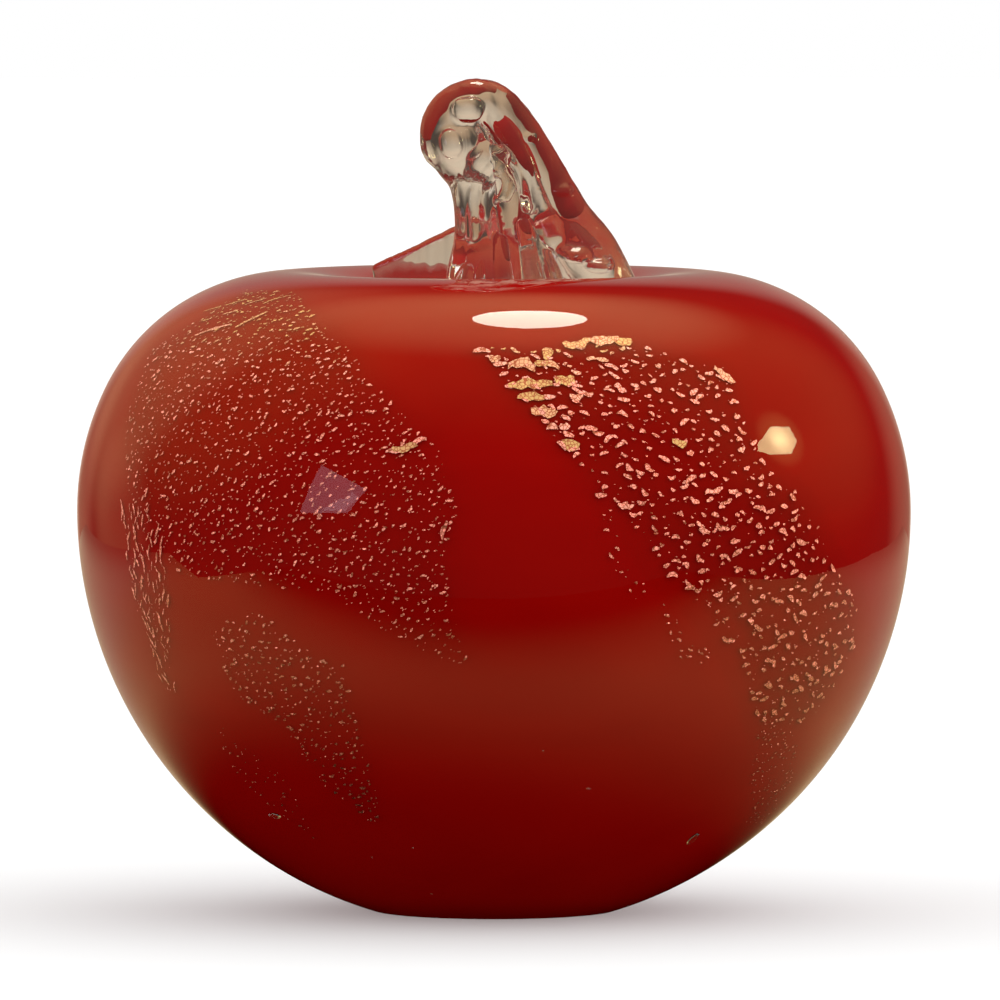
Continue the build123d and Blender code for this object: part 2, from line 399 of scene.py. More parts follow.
STEM_STRANDS = {
    "rope": [(13.4, -1.0, -1.5, 3.0), (11.0, -0.8, 1.9, 3.5), (8.6, -0.5, 5.3, 3.2), (6.9, -0.3, 8.3, 3.0),
             (5.0, -0.2, 11.8, 2.9), (2.9, -0.2, 15.3, 2.8), (0.4, -0.3, 18.4, 2.9), (-2.4, -0.5, 19.1, 3.1),
             (-4.8, -0.8, 17.3, 3.4), (-5.0, -1.2, 14.8, 3.5)],
    "leg": [(-4.2, -1.2, 14.6, 3.8), (-3.4, -1.4, 12.6, 3.3), (-2.6, -1.6, 10.6, 2.7),
            (-2.2, -1.8, 8.0, 2.45), (-1.9, -2.0, 4.3, 2.7), (-1.8, -2.2, 0.8, 3.4), (-1.8, -2.2, -2.7, 4.0)],
    "web": [(-1.0, 1.2, 13.0, 2.6), (1.5, 1.2, 9.3, 2.4), (2.6, 1.0, 4.3, 3.2), (3.0, 0.5, -1.7, 4.4)],
    "top_knob": [(-3.3, -4.1, 18.6, 1.5), (-2.7, -4.2, 18.7, 1.55)],
    "low_knob": [(-5.0, -4.7, 15.2, 1.3), (-4.8, -4.8, 14.4, 1.35)],
    "knob_web": [(-2.4, -3.2, 16.6, 0.7), (-1.6, -3.2, 15.6, 0.8), (-1.5, -3.4, 14.6, 0.7)],
    "wrinkle_1": [(-7.0, -2.6, 17.9, 0.4), (-5.9, -3.5, 17.2, 0.45), (-5.2, -3.9, 16.9, 0.3)],
    "wrinkle_2": [(-7.4, -2.4, 16.7, 0.4), (-6.5, -3.3, 15.9, 0.4), (-6.4, -3.5, 14.9, 0.3)],
    "rope_edge": [(-1.0, -2.4, 19.6, 1.2), (1.9, -2.5, 15.5, 1.3), (4.0, -2.6, 11.1, 1.3),
                  (5.4, -2.9, 7.3, 1.4), (6.6, -3.4, 3.9, 1.6)],
    "fold": [(-1.0, -3.5, 14.4, 0.7), (0.8, -3.4, 13.8, 0.75), (2.2, -3.2, 12.6, 0.75),
             (3.3, -3.1, 10.6, 0.8), (3.9, -3.3, 7.4, 0.8)],
    "fan_1": [(-0.9, -3.7, 14.6, 0.45), (-2.6, -4.2, 13.3, 0.5), (-4.8, -3.9, 12.5, 0.4)],
    "fan_2": [(-0.5, -3.6, 14.0, 0.45), (-1.9, -3.9, 12.3, 0.5), (-3.9, -3.4, 11.0, 0.45),
              (-3.8, -3.2, 8.0, 0.5), (-3.6, -3.8, 5.0, 0.5)],
    "fan_3": [(0.2, -3.4, 13.4, 0.45), (-1.0, -3.7, 11.6, 0.5), (-2.4, -4.0, 9.6, 0.5),
              (-2.5, -4.2, 6.9, 0.55), (-2.4, -4.6, 4.2, 0.6)],
    "fan_4": [(0.9, -3.2, 12.9, 0.4), (0.0, -3.4, 11.0, 0.45), (-1.1, -3.8, 9.0, 0.5),
              (-1.2, -4.1, 6.4, 0.5)],
    "swirl_1": [(0.4, -3.2, 12.5, 0.35), (1.4, -3.0, 12.0, 0.4), (2.1, -2.8, 10.9, 0.4),
                (2.1, -2.7, 9.6, 0.4), (1.5, -2.9, 8.4, 0.4)],
    "swirl_2": [(0.5, -2.9, 11.3, 0.35), (1.2, -2.7, 10.7, 0.4), (1.2, -2.7, 9.6, 0.4),
                (0.5, -3.0, 8.2, 0.4)],
    "back_lobe": [(1.0, 1.4, 5.5, 2.8), (1.4, 2.2, -2.3, 3.2)],
    "back_toe": [(6.6, 1.0, 3.9, 2.8), (8.6, 2.4, -1.7, 2.8)],
    "toe_1": [(-2.6, -3.8, 2.4, 0.8), (-3.2, -5.6, -2.1, 1.2)],
    "toe_2": [(-1.0, -4.0, 2.8, 0.9), (-1.0, -6.0, -2.1, 1.3)],
    "toe_3": [(0.8, -3.5, 3.6, 0.9), (1.2, -6.2, -2.1, 1.3)],
    "toe_4": [(3.4, -2.8, 5.4, 0.9), (4.6, -6.4, -1.9, 1.3)],
    "toe_5": [(4.8, -2.6, 5.3, 0.9), (7.0, -6.0, -1.7, 1.3)],
    "knee": [(7.6, -1.8, 6.0, 1.6), (9.4, -2.5, 3.2, 2.4), (11.4, -2.5, 0.9, 2.6), (12.8, -2.2, -1.0, 2.3)],
    "plug": [(0, 0, 0.0, 4.4), (0, 0, -6.0, 4.4), (0, 0, -12.6, 4.4)],
}

# Shallow round facets on the stem as (centre, radius, half thickness), and the way they all face
STEM_FACETS = [
    ((9.2, -4.7, 2.3), 2.0, 0.9),
    ((12.0, -4.7, 1.0), 1.8, 0.8),
    ((3.9, -2.1, 15.7), 1.2, 0.6),
    ((7.8, -2.4, 9.6), 1.3, 0.6),
]
FACET_FACES = Vector((0.07, -0.42, 0.905))
FACET_SUBDIVISIONS = 4

# Thin fin of the stem, melted from strands side by side between these two
FIN_TOP = [(-2.5, 2.5, 5.2, 0.8), (-8.0, 4.6, 2.7, 0.6), (-13.8, 6.4, 0.2, 0.4)]
FIN_LOW = [(-2.5, 2.5, -3.0, 0.8), (-8.0, 4.6, -2.9, 0.6), (-13.4, 6.4, -1.9, 0.4)]
FIN_STRANDS = 24

# Red inside the stem's glass, partly drawn up from the overlay, partly painted refraction of the body's red:
# same measures
STEM_REDS = {
    "cap": [(-0.4, 0.2, 20.1, 0.35), (-1.5, 0.1, 20.3, 0.6), (-3.8, 0.0, 19.9, 0.75), (-5.9, -0.3, 18.4, 0.8),
            (-6.8, -0.6, 16.4, 0.7), (-6.8, -0.8, 15.3, 0.35)],
    "right": [(1.3, 0.2, 19.6, 0.35), (2.4, 0.2, 18.2, 0.5), (4.1, 0.2, 15.9, 0.6), (6.1, 0.2, 12.4, 0.65),
              (7.1, 0.2, 10.3, 0.85), (7.7, 0.1, 8.6, 1.05), (8.3, 0.1, 7.3, 1.15), (8.6, 0.1, 6.7, 1.0)],
    "under": [(-1.0, -0.2, 17.6, 0.3), (0.0, -0.1, 17.1, 0.55), (0.9, 0.0, 16.3, 0.75), (2.0, 0.0, 15.0, 0.8),
              (3.1, 0.0, 13.3, 0.75), (3.9, 0.0, 12.1, 0.6), (4.6, 0.0, 10.6, 0.3)],
    "left_column": [(0.3, 0.2, 7.6, 0.4), (0.2, 0.0, 5.0, 0.7), (0.0, 0.0, 1.0, 0.8)],
    "right_column": [(3.2, 0.2, 9.4, 0.35), (3.3, 0.2, 7.6, 0.65), (3.2, 0.2, 4.0, 0.6)],
}

# Rings of a strand: sides, distance apart in millimetres, angles of the domed ends, and a way that
# no strand runs, from which the rings are turned
STRAND_SIDES = 24
STRAND_STEP = 0.6
FEWEST_STRAND_STEPS = 6
DOME_ANGLES = (85, 60, 35, 15)
STRAND_ASIDE = Vector((0.31, 0.95, 0.05))

# Melting of the strands into one form, and ripples on it as (depth, length along each axis)
STEM_VOXEL = 0.25 * MM
STEM_SMOOTHING = 4
STEM_RIPPLES = [(0.13 * MM, Vector((2.2, 2.2, 7.0)) * MM), (0.05 * MM, Vector((0.8, 0.8, 5.0)) * MM)]

# Material places of the stem: its glass, then the parts under the body's skin that are fused to the clear
# casing and to the red, and the red cords inside it, partly painted refraction. The casing has the first two
# as well
GLASS_PLACE, BOND_PLACE, OVERLAY_PLACE, CORD_PLACE = range(4)
BOND_DEPTH = 0.05 * MM


def curve_point(points, place):
    """Smooth curve through given points (Catmull-Rom), at a place counted in spans."""
    last = len(points) - 1
    span = min(int(place), last - 1)
    t = place - span
    p0, p1, p2, p3 = [Vector(points[min(max(span + k, 0), last)]) for k in (-1, 0, 1, 2)]
    return (p1 * 2 + (p2 - p0) * t + (p0 * 2 - p1 * 5 + p2 * 4 - p3) * t * t
            + (p1 * 3 - p0 - p2 * 3 + p3) * t**3) / 2


def dome(centre, along, radius, way):
    """Rings that close the end of a strand, from its tip back to its last full ring."""
    for degrees in DOME_ANGLES:
        angle = math.radians(degrees)
        yield centre + along * radius * math.sin(angle) * way, along, radius * math.cos(angle)


def strand(points):
    """Closed round tube of varying radius with domed ends, as vertices and faces, in millimetres."""
    reach = sum((Vector(b[:3]) - Vector(a[:3])).length for a, b in zip(points, points[1:]))
    count = max(FEWEST_STRAND_STEPS, round(reach / STRAND_STEP))
    middle = [curve_point(points, (len(points) - 1) * step / count) for step in range(count + 1)]
    rings = []
    for index, here in enumerate(middle):
        before = middle[max(index - 1, 0)]
        after = middle[min(index + 1, count)]
        along = (Vector(after[:3]) - Vector(before[:3])).normalized()
        rings.append((Vector(here[:3]), along, here[3]))
    start = list(dome(*rings[0], -1))
    end = list(dome(*rings[-1], 1))
    rings = start + rings + end[::-1]
    vertices = []
    for centre, along, radius in rings:
        side = along.cross(STRAND_ASIDE).normalized()
        other = along.cross(side)
        for step in range(STRAND_SIDES):
            turn = 2 * math.pi * step / STRAND_SIDES
            vertices.append(centre + (side * math.cos(turn) + other * math.sin(turn)) * radius)
    faces = []
    for ring in range(len(rings) - 1):
        for step in range(STRAND_SIDES):
            after = (step + 1) % STRAND_SIDES
            low = ring * STRAND_SIDES
            high = low + STRAND_SIDES
            faces.append((low + step, low + after, high + after, high + step))
    faces.append(tuple(reversed(range(STRAND_SIDES))))
    top = (len(rings) - 1) * STRAND_SIDES
    faces.append(tuple(range(top, top + STRAND_SIDES)))
    return vertices, faces


def baked(piece):
    """Applies a piece's modifiers to its mesh."""
    graph = bpy.context.evaluated_depsgraph_get()
    mesh = bpy.data.meshes.new_from_object(piece.evaluated_get(graph))
    old = piece.data
    piece.modifiers.clear()
    piece.data = mesh
    bpy.data.meshes.remove(old)


def depth_in_body(v):
    """How far a point near the dimple lies under the body's surface."""
    spread = math.hypot(v.x, v.y)
    if spread < DIMPLE_EDGE:
        return math.hypot(spread, v.z - DIMPLE_CENTRE[1]) - DIMPLE_RADIUS
    return SHOULDER_RADIUS - math.hypot(spread - SHOULDER_CENTRE[0], v.z - SHOULDER_CENTRE[1])


def on_rim(v):
    """Place of a point of the stem."""
    return Vector((v.x * MM, v.y * MM, RIM_HEIGHT + v.z * MM))


def draw_in_reds(mesh):
    """Adds the red cords inside the stem's mesh, partly painted refraction of the body's red."""
    grown = bmesh.new()
    grown.from_mesh(mesh)
    for points in STEM_REDS.values():
        more, rings = strand(points)
        corners = [grown.verts.new(on_rim(v)) for v in more]
        for ring in rings:
            face = grown.faces.new([corners[index] for index in ring])
            face.material_index = CORD_PLACE
            face.smooth = True
    grown.to_mesh(mesh)
    grown.free()
    mesh.update()


def let_light_through(piece):
    """Clear glass neither shades what lies under it nor keeps soft light from it."""
    piece.visible_shadow = False
    piece.visible_diffuse = False


def ball(subdivisions):
    """Vertices and faces of a round ball of radius 1."""
    grown = bmesh.new()
    bmesh.ops.create_icosphere(grown, subdivisions=subdivisions, radius=1)
    vertices = [v.co.copy() for v in grown.verts]
    faces = [tuple(v.index for v in face.verts) for face in grown.faces]
    grown.free()
    return vertices, faces


def facet(row):
    """Flattened ball that faces one way, in millimetres."""
    centre, radius, thickness = row
    vertices, faces = ball(FACET_SUBDIVISIONS)
    turn = FACET_FACES.to_track_quat("Z", "Y")
    size = Vector((radius, radius, thickness))
    return [Vector(centre) + turn @ (v * size) for v in vertices], faces


def fin():
    """Strands from the fin's top to its foot."""
    for step in range(FIN_STRANDS):
        share = step / (FIN_STRANDS - 1)
        yield [tuple(Vector(top).lerp(Vector(low), share)) for top, low in zip(FIN_TOP, FIN_LOW)]


def stem():
    """The strands melted into one closed form, rippled along their pull."""
    vertices, faces = [], []
    forms = [*map(strand, STEM_STRANDS.values()), *map(strand, fin()), *map(facet, STEM_FACETS)]
    for more, rings in forms:
        join(vertices, faces, [on_rim(v) for v in more], rings)
    piece = new_piece("stem_pulled", vertices, faces, STEM_GLASS, BOND, RED_GLASS, DRAWN_RED_AND_PAINTED_REFRACTION)
    remesh = piece.modifiers.new("melt", "REMESH")
    remesh.mode = "VOXEL"
    remesh.voxel_size = STEM_VOXEL
    smooth = piece.modifiers.new("flow", "SMOOTH")
    smooth.iterations = STEM_SMOOTHING
    baked(piece)
    mesh = piece.data
    normals = [v.normal.copy() for v in mesh.vertices]
    for vertex, normal in zip(mesh.vertices, normals):
        here = vertex.co.copy()
        for depth, length in STEM_RIPPLES:
            place = Vector([here[axis] / length[axis] for axis in range(3)])
            vertex.co += normal * depth * noise.noise(place)
    for face in mesh.polygons:
        depth = depth_in_body(face.center)
        if depth > RED_INSET:
            face.material_index = OVERLAY_PLACE
        elif depth > BOND_DEPTH:
            face.material_index = BOND_PLACE
        else:
            face.material_index = GLASS_PLACE
    mesh.polygons.foreach_set("use_smooth", [True] * len(mesh.polygons))
    mesh.update()
    draw_in_reds(mesh)
    let_light_through(piece)
    fit_out(piece, "clear_glass", "stem")
    return piece


# Body

# Seeds of air in the casing as (azimuth, slope, depth in the glass) and half sizes along the girth, outwards
# and upwards, in degrees and millimetres
BUBBLES = [
    ((48, -50, 2.0), (0.55, 0.4, 1.0)),
    ((-48, -45, 1.6), (1.0, 0.4, 0.45)),
    ((-30, -54, 2.4), (0.13, 0.13, 0.13)),
    ((-18, -51, 1.8), (0.15, 0.15, 0.15)),
    ((-20, -64, 2.0), (0.13, 0.13, 0.13)),
    ((8, -32, 1.8), (0.12, 0.12, 0.16)),
    ((17, -39, 2.2), (0.2, 0.12, 0.12)),
    ((150, -30, 2.2), (0.5, 0.4, 0.8)),
    ((-120, 20, 1.4), (0.35, 0.3, 0.3)),
]
BUBBLE_SUBDIVISIONS = 3

# Farthest that the stem's surface is looked for from a point
STEM_NEAR = 20 * MM


def bend_at(slope):
    """Centre and radius of the outline's arc at a slope."""
    if slope < 0:
        return BODY_CENTRE, BODY_RADIUS
    if slope < FLANK_TURN:
        return FLANK_CENTRE, FLANK_RADIUS
    return SHOULDER_CENTRE, SHOULDER_RADIUS


def skin_place(azimuth, slope, inset):
    """Point on the body set in by a wall, with its directions along the girth, upwards and outwards."""
    centre, radius = bend_at(slope)
    r, z = polar(centre, radius - inset, slope)
    turn, tilt = math.radians(azimuth), math.radians(slope)
    girth = Vector((math.cos(turn), math.sin(turn), 0))
    out = Vector((math.cos(tilt) * math.sin(turn), -math.cos(tilt) * math.cos(turn), math.sin(tilt)))
    return Vector((r * math.sin(turn), -r * math.cos(turn), z)), girth, out.cross(girth), out


def bubble(place, size):
    """Seed of air in the casing: a small oval whose faces look inwards, into the air."""
    azimuth, slope, inset = place
    origin, girth, up, out = skin_place(azimuth, slope, inset * MM)
    wide, deep, tall = size
    places, faces = ball(BUBBLE_SUBDIVISIONS)
    vertices = [origin + (girth * v.x * wide + out * v.y * deep + up * v.z * tall) * MM for v in places]
    return vertices, [tuple(reversed(face)) for face in faces]


def within(tree, point):
    """True where a point lies inside a closed mesh."""
    near, normal, _, _ = tree.find_nearest(point, STEM_NEAR)
    return near is not None and (point - near).dot(normal) < 0


def casing(stem_piece):
    """Clear outer gather: a closed shell, fused to the red inside and to the stem where that stands."""
    vertices, faces = turned(foot_outline() + outline(0, FOOT_ANGLE))
    vertices = [pulled_in(v) for v in vertices]
    outside = len(faces)
    inner, inner_faces = turned(outline(CASING_WALL, DOWN), inward=True)
    join(vertices, faces, [pulled_in(v) for v in inner], inner_faces)
    inside_end = len(faces)
    for place, size in BUBBLES:
        join(vertices, faces, *bubble(place, size))
    piece = new_piece("casing_clear", vertices, faces, CASING_GLASS, BOND)
    tree = BVHTree.FromObject(stem_piece, bpy.context.evaluated_depsgraph_get())
    for face in piece.data.polygons:
        if outside <= face.index < inside_end:
            face.material_index = BOND_PLACE
        elif face.index < outside and face.center.z > EQUATOR:
            if all(within(tree, piece.data.vertices[index].co) for index in face.vertices):
                face.material_index = BOND_PLACE
    let_light_through(piece)
    piece.visible_glossy = False
    fit_out(piece, "clear_glass", "clear_casing")


# Gold leaf. A grain is the distance between flecks and the half width of the largest, in millimetres,
# their length over width, the way they lie in degrees from the girth, the share of them kept,
# the share with dust beside them, and how far the red under them is darkened as painted shade

Grain = namedtuple("Grain", "pitch half_width stretch turn kept dust shade")
FAN = Grain(1.05, 0.185, 1.7, 30, 0.82, 0.8, 0.17)
EDGE = Grain(1.1, 0.2, 4.2, 86, 0.9, 0.5, 0.05)
LOWER = Grain(1.05, 0.19, 1.7, 20, 0.9, 0.5, 0.06)
HEEL = Grain(1.2, 0.13, 1.6, 15, 0.6, 0.5, 0.03)
BAND = Grain(1.42, 0.355, 1.75, -8, 0.95, 0.7, 0.27)
TAIL = Grain(1.0, 0.14, 1.5, 0, 0.75, 0.5, 0.06)
CRUMB = Grain(1.1, 0.22, 1.9, -30, 0.85, 0.4, 0.06)

# Sheets: grain and corners as (azimuth from the front towards +X, slope of the outward normal), in degrees
LEAF_SHEETS = {
    "gold_leaf_left_fan": (FAN, [
        (-68, 58), (-69, 74), (-50, 78), (-27, 52), (-15, 28), (-8, 18), (-5, 5), (-7, -4), (-4, -20),
        (-14, -16), (-24, -9), (-52, -7), (-64, 4), (-70, 21), (-75, 42)]),
    "gold_leaf_left_edge": (EDGE, [
        (-67, 3), (-58, 3), (-54, -3), (-55, -13), (-60, -26), (-63, -25), (-63, -17), (-65, -6)]),
    "gold_leaf_lower_left": (LOWER, [
        (-47, -15), (-37, -12), (-30, -16), (-23, -20), (-22, -29), (-22, -41), (-25, -49), (-29, -46),
        (-34, -39), (-37, -30), (-41, -28), (-45, -24)]),
    "gold_leaf_heel_left": (HEEL, [
        (-52, -28), (-50, -32), (-41, -39), (-44, -53), (-47, -49), (-54, -42), (-54, -35)]),
    "gold_leaf_right_band": (BAND, [
        (-4, 52), (12, 51), (20, 56), (28, 50), (41, 41), (41, 24), (43, 13), (50, 6), (56, -5), (67, -13),
        (68, -20), (64, -29), (50, -31), (43, -23), (32, -11), (25, -6), (16, 7), (10, 18)]),
    "gold_leaf_right_tail": (TAIL, [(48, -28), (61, -32), (73, -42), (80, -49), (66, -48), (53, -38)]),
    "gold_leaf_centre_streak": (CRUMB, [(15, 8), (17, 8), (18, -3), (23, -8), (21, -10), (17, -5)]),
    "gold_leaf_right_crumb": (CRUMB, [(25, -10), (27, -10), (29, -16), (35, -18), (34, -20), (28, -19)]),
    "gold_leaf_back_right_fan": (FAN, [
        (88, 45), (105, 62), (128, 52), (141, 20), (136, -8), (112, -14), (95, 10)]),
    "gold_leaf_back_band": (BAND, [(150, 56), (172, 52), (197, 18), (204, -12), (186, -22), (166, 2)]),
    "gold_leaf_back_left_fan": (LOWER, [
        (-150, 48), (-128, 58), (-104, 36), (-98, 10), (-120, 2), (-142, 18)]),
    "gold_leaf_back_lower_right": (FAN, [(100, -22), (118, -19), (136, -36), (128, -48), (108, -40)]),
    "gold_leaf_back_lower_left": (LOWER, [(-150, -14), (-128, -10), (-106, -24), (-112, -44), (-138, -36)]),
}

# Clumps where the leaf stayed whole: azimuth, slope, half length and half width in mm, and the way they lie
LEAF_CLUMPS = {
    "gold_leaf_left_fan": [
        (-13.3, 18.7, 1.5, 0.5, 12), (-14.9, 17.6, 0.8, 0.35, 0), (-11, 20, 0.8, 0.35, 20),
        (-7, 0.4, 1.1, 0.3, 75), (-60.2, 53.5, 2.4, 0.2, 26), (-52.3, 60.2, 1.9, 0.22, 53),
        (-69, 62, 1.2, 0.12, 30), (-64, 67, 1.4, 0.12, 35), (-58, 69, 1.2, 0.12, 40),
        (-53, 72, 1.1, 0.12, 45), (-61, 62, 1.0, 0.12, 30), (-66, 57, 0.9, 0.12, 25)],
    "gold_leaf_right_band": [
        (4.7, 43.3, 1.4, 1.0, -10), (5.8, 37, 2.2, 0.7, 2), (5.7, 32.2, 1.4, 0.6, -4),
        (7.6, 27.2, 1.4, 0.8, -8), (11.4, 38.5, 1.1, 0.8, 0), (14.8, 53.7, 1.5, 0.8, 14),
        (19.9, 55, 1.7, 0.8, 4), (23.6, 54.2, 1.1, 0.8, -8), (9.4, 48.5, 0.8, 0.7, 60),
        (8, 45.2, 0.7, 0.55, 0), (9.3, 44, 1.0, 0.45, -20), (11.5, 19.4, 1.0, 0.7, -15),
        (8.8, 23.1, 0.6, 0.45, 0), (10.7, 23.3, 0.6, 0.45, 10), (13, 33, 0.7, 0.45, 0),
        (28.6, 19.3, 0.9, 0.6, -10), (19.3, 5.7, 0.9, 0.45, -5), (0.2, 47.3, 0.6, 0.55, 0),
        (-2, 49.9, 1.0, 0.45, -5), (40.1, 38.4, 1.4, 0.6, -50)],
}
LEAF_THICKNESS = 0.04
LEAF_SEED = 11

# Sheets once more as painted shade on the red, first and last azimuth, and corners; and the spots about
# a point that its painted shade is the mean of, in degrees
LEAF_SPANS = [(grain.shade, min(corners)[0], max(corners)[0], corners)
              for grain, corners in LEAF_SHEETS.values()]
SHADE_SPOTS = [(0, 0), (4, 0), (-4, 0), (0, 4), (0, -4), (2, 2), (-2, 2), (2, -2), (-2, -2)]

# Shape of a fleck: bow and widths as shares of its half width, shift as a share of its half length,
# stations' distance, crumple and dust in millimetres, turn in degrees, and scatter of length over width
FLECK_STATIONS = (4, 5)
FLECK_STATION_LENGTH = 0.4
FLECK_BOW = 0.7
FLECK_WIDTHS = (0.45, 1.1)
FLECK_TIP = 0.8
FLECK_SHIFT = 0.12
FLECK_CRUMPLE = 0.05
FLECK_TURN = 40
SMALLEST_FLECK = 0.32
FLECK_STRETCH = (0.6, 1.3)
DUST_HALF_WIDTH = (0.04, 0.08)
DUST_STRETCH = (1, 2)
GRID_SHAKE = 0.4

# A fleck is golden high on the body and where the leaf is large: slopes and half widths at which that
# starts and ends
GOLDEN_SLOPES = (34, 58)
GOLDEN_HALF_WIDTHS = (0.32, 0.55)
GILD_SCATTER = 0.3


def inside(point, corners):
    """True where a point lies within a closed outline."""
    hit = False
    for (x1, y1), (x2, y2) in zip(corners, corners[1:] + corners[:1]):
        if (y1 > point[1]) != (y2 > point[1]):
            hit ^= point[0] < x1 + (point[1] - y1) * (x2 - x1) / (y2 - y1)
    return hit


def slope_at(r, z):
    """Slope of the outward normal at a point of the half section, below the rim."""
    slope = math.degrees(math.atan2(z - BODY_CENTRE[1], r - BODY_CENTRE[0]))
    if slope > 0:
        slope = math.degrees(math.atan2(z - FLANK_CENTRE[1], r - FLANK_CENTRE[0]))
    if slope > FLANK_TURN:
        slope = math.degrees(math.atan2(z - SHOULDER_CENTRE[1], r - SHOULDER_CENTRE[0]))
    return slope


def shade_at(azimuth, slope):
    """How far the red is darkened as painted shade: by the grain of the sheet of leaf over it, or not at all.
    """
    for shade, first, last, corners in LEAF_SPANS:
        for turn in (azimuth, azimuth + FULL_TURN):
            if first < turn < last and inside((turn, slope), corners):
                return shade
    return 0.0


def shade_under_leaf(vertex):
    """Painted shade on the red at a point of the body, with soft ends."""
    x, y, z = vertex
    slope = slope_at(math.hypot(x, y), z)
    azimuth = math.degrees(math.atan2(x, -y))
    near = [shade_at(azimuth + turn, slope + rise) for turn, rise in SHADE_SPOTS]
    return sum(near) / len(near)


def red_layer():
    """Red overlay: a closed shell, with painted shade under the leaf."""
    vertices, faces = turned(outline(RED_INSET, DOWN))
    shades = [shade_under_leaf(v) for v in vertices]
    vertices = [pulled_in(v) for v in vertices]
    inner, inner_faces = turned(outline(RED_INSET + RED_WALL, DOWN), inward=True)
    join(vertices, faces, [pulled_in(v) for v in inner], inner_faces)
    piece = new_piece("overlay_red", vertices, faces, RED_GLASS)
    shades += [0.0] * len(inner)
    piece.data.attributes.new(SHADE, "FLOAT", "POINT").data.foreach_set("value", shades)
    fit_out(piece, "red_glass", "red_overlay")


def fleck(place, half_length, half_width, turn, chance):
    """One torn fleck of leaf: a thin crumpled plate along a bent line, uneven in width."""
    origin, girth, up, out = skin_place(*place, RED_INSET - LEAF_ROOM / 2)
    angle = math.radians(turn)
    along = girth * math.cos(angle) + up * math.sin(angle)
    across = up * math.cos(angle) - girth * math.sin(angle)
    bow = half_width * chance.uniform(-FLECK_BOW, FLECK_BOW)
    stations = max(chance.randint(*FLECK_STATIONS), round(2 * half_length / FLECK_STATION_LENGTH))
    rim = []
    for station in range(stations):
        share = 2 * station / (stations - 1) - 1
        middle = bow * (1 - share**2)
        for side in (1, -1):
            half = half_width * math.sqrt(1 - FLECK_TIP * share**2) * chance.uniform(*FLECK_WIDTHS)
            x = half_length * (share + chance.uniform(-FLECK_SHIFT, FLECK_SHIFT))
            rim.append((x, middle + side * half, chance.uniform(-FLECK_CRUMPLE, FLECK_CRUMPLE)))
    vertices = []
    for side in (1, -1):
        for x, y, crumple in rim:
            lift = out * (crumple + side * LEAF_THICKNESS / 2)
            vertices.append(origin + (along * x + across * y + lift) * MM)
    under = len(rim)
    faces = []
    for left in range(0, under - 2, 2):
        right = left + 1
        faces.append((right, right + 2, left + 2, left))
        faces.append((under + left, under + left + 2, under + right + 2, under + right))
        faces.append((left, left + 2, under + left + 2, under + left))
        faces.append((right + 2, right, under + right, under + right + 2))
    faces.append((0, under, under + 1, 1))
    faces.append((under - 1, 2 * under - 1, 2 * under - 2, under - 2))
    return vertices, faces


def clamped(value, low, high):
    """Where a value lies between two others, from 0 to 1."""
    return min(1, max(0, (value - low) / (high - low)))


def spots_on(corners, grain, chance):
    """Flecks and dust scattered over a sheet on a shaken grid."""
    slope = min(corner[1] for corner in corners)
    while slope < max(corner[1] for corner in corners):
        origin, _, _, _ = skin_place(0, slope, RED_INSET)
        _, bend = bend_at(slope)
        row = math.degrees(grain.pitch * MM / bend)
        step = math.degrees(grain.pitch * MM / -origin.y)
        azimuth = min(corner[0] for corner in corners) + step * chance.random()
        while azimuth < max(corner[0] for corner in corners):
            spot = (azimuth + step * chance.uniform(-GRID_SHAKE, GRID_SHAKE),
                    slope + row * chance.uniform(-GRID_SHAKE, GRID_SHAKE))
            if inside(spot, corners) and chance.random() < grain.kept:
                half = grain.half_width * chance.uniform(SMALLEST_FLECK, 1)
                length = half * max(1, grain.stretch * chance.uniform(*FLECK_STRETCH))
                yield *spot, length, half, grain.turn + chance.uniform(-FLECK_TURN, FLECK_TURN)
            speck = (azimuth + step * chance.random(), slope + row * chance.random())
            if inside(speck, corners) and chance.random() < grain.dust:
                half = chance.uniform(*DUST_HALF_WIDTH)
                yield *speck, half * chance.uniform(*DUST_STRETCH), half, grain.turn
            azimuth += step
        slope += row


def leaf_sheet(node, chance):
    """All flecks of one torn sheet, with its clumps."""
    grain, corners = LEAF_SHEETS[node]
    vertices, faces, gilding = [], [], []
    spots = LEAF_CLUMPS.get(node, []) + list(spots_on(corners, grain, chance))
    for azimuth, slope, length, half, turn in spots:
        more, more_faces = fleck((azimuth, slope), length, half, turn, chance)
        join(vertices, faces, more, more_faces)
        golden = max(clamped(slope, *GOLDEN_SLOPES), clamped(half, *GOLDEN_HALF_WIDTHS))
        gilding += [golden + chance.uniform(-GILD_SCATTER, GILD_SCATTER)] * len(more_faces)
    piece = new_piece(node.replace("gold_leaf", "leaf"), vertices, faces, GOLD_LEAF)
    piece.data.polygons.foreach_set("use_smooth", [False] * len(faces))
    piece.data.attributes.new(GILD, "FLOAT", "FACE").data.foreach_set("value", gilding)
    fit_out(piece, "gold_leaf", node)


# Stage: pale floor, soft light, the room in the reflections, and the camera

FLOOR_RADIUS = 4.0
FLOOR_SIDES = 96
FLOOR_DROP = 0.05 * MM
FLOOR_COLOUR = (0.66, 0.675, 0.695, 1)
FLOOR_GLOW = 0.08


def direction(azimuth, elevation):
    """Unit vector from the apple, azimuth from the front towards +X."""
    turn, rise = math.radians(azimuth), math.radians(elevation)
    return Vector((math.sin(turn) * math.cos(rise), -math.cos(turn) * math.cos(rise), math.sin(rise)))


def ellipse(half_x, half_y, height, sides):
    turns = [2 * math.pi * step / sides for step in range(sides)]
    return [(half_x * math.cos(turn), half_y * math.sin(turn), height) for turn in turns]


